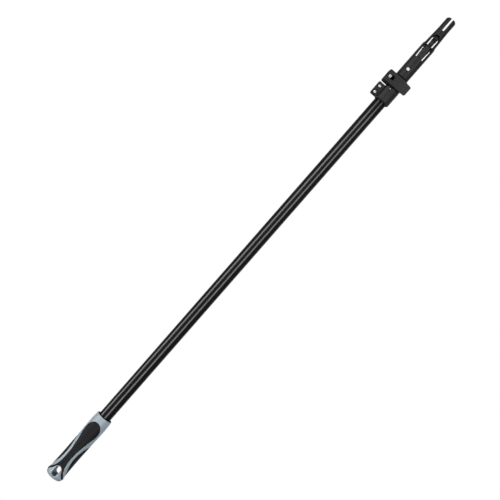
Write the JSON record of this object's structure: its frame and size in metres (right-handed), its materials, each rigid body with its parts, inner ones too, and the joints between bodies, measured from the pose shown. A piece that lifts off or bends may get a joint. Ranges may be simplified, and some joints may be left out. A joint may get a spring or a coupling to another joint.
{
  "type": "roller extension pole",
  "caption": "Telescopic pole for a paint roller: two-tone grip with hanging slot, dark outer tube, cam-lever clamp, sliding inner tube and a split tapered nose with spring latches",
  "frame": {"origin": "on the pole's axis, at the centre of the flat end of the grip", "axes": "+Z runs along the pole from the grip to the tapered nose that takes the roller; -Y is the front, where the clamp lever's face and the front latch are; -X is the side with the clamp's screw ears; +X is the side with the lever's thumb tab"},
  "size_m": [0.0568, 0.041, 1.2104],
  "materials": {
    "grip_body": "lightly textured moulded polypropylene, blue-grey",
    "grip_inlay": "soft moulded elastomer",
    "left_inlay": "soft moulded elastomer",
    "right_inlay": "soft moulded elastomer",
    "mouth_seal": "soft moulded elastomer",
    "tube_end_plug": "moulded",
    "outer_tube": "satin black coating on drawn tube",
    "clamp_body": "fine-textured moulded nylon",
    "clamp_screws": "zinc plated",
    "clamp_nuts": "zinc plated",
    "locating_rivet": "plain",
    "mouth_bushing": "moulded acetal",
    "cam_washer": "stamped",
    "tension_bolt": "zinc plated",
    "barrel_nut": "black oxide",
    "cam_lever": "fine-textured moulded glass-filled nylon",
    "glide_ring": "moulded acetal",
    "inner_plug": "moulded acetal",
    "inner_tube": "satin anodised",
    "nose_cone": "fine-textured moulded glass-filled nylon",
    "nose_rivets": "plain",
    "front_latch": "fine-textured moulded glass-filled nylon",
    "rear_latch": "fine-textured moulded glass-filled nylon"
  },
  "bodies": {
    "handle": {"grip_body": "grip_body", "grip_inlay": "grip_inlay", "left_inlay": "left_inlay", "right_inlay": "right_inlay", "mouth_seal": "mouth_seal", "tube_end_plug": "tube_end_plug", "outer_tube": "outer_tube", "clamp_body": "clamp_body", "clamp_screws": "clamp_screws", "clamp_nuts": "clamp_nuts", "locating_rivet": "locating_rivet", "mouth_bushing": "mouth_bushing", "cam_washer": "cam_washer"},
    "bolt": {"tension_bolt": "tension_bolt", "barrel_nut": "barrel_nut"},
    "lever": {"cam_lever": "cam_lever"},
    "glide": {"glide_ring": "glide_ring"},
    "inner_pole": {"inner_plug": "inner_plug", "inner_tube": "inner_tube", "nose_cone": "nose_cone", "nose_rivets": "nose_rivets"},
    "latch_front": {"front_latch": "front_latch"},
    "latch_rear": {"rear_latch": "rear_latch"}
  },
  "joints": [
    {"name": "pole_slide", "type": "slide", "parent": "handle", "child": "glide", "axis": [0, 0, 1], "range_m": [0, 0.87]},
    {"name": "inner_turn", "type": "hinge", "parent": "glide", "child": "inner_pole", "pos_m": [0, 0, 0.075], "axis": [0, 0, 1], "continuous": true},
    {"name": "bolt_ease", "type": "slide", "parent": "handle", "child": "bolt", "axis": [0, 1, 0], "range_m": [0, 0.000524]},
    {"name": "lever_open", "type": "hinge", "parent": "bolt", "child": "lever", "pos_m": [-0.0194, -0.01582, 1.0404], "axis": [0, 0, -1], "range_deg": [0, 100]},
    {"name": "front_latch_press", "type": "hinge", "parent": "inner_pole", "child": "latch_front", "pos_m": [0, -0.0114, 1.10774], "axis": [-1, 0, 0], "range_deg": [0, 4], "stiffness_Nm_per_rad": 6},
    {"name": "rear_latch_press", "type": "hinge", "parent": "inner_pole", "child": "latch_rear", "pos_m": [0, 0.0114, 1.10774], "axis": [1, 0, 0], "range_deg": [0, 4], "stiffness_Nm_per_rad": 6}
  ],
  "couplings": [
    {"joint": "bolt_ease", "follows": "lever_open", "m_per_rad": 0.0003}
  ]
}
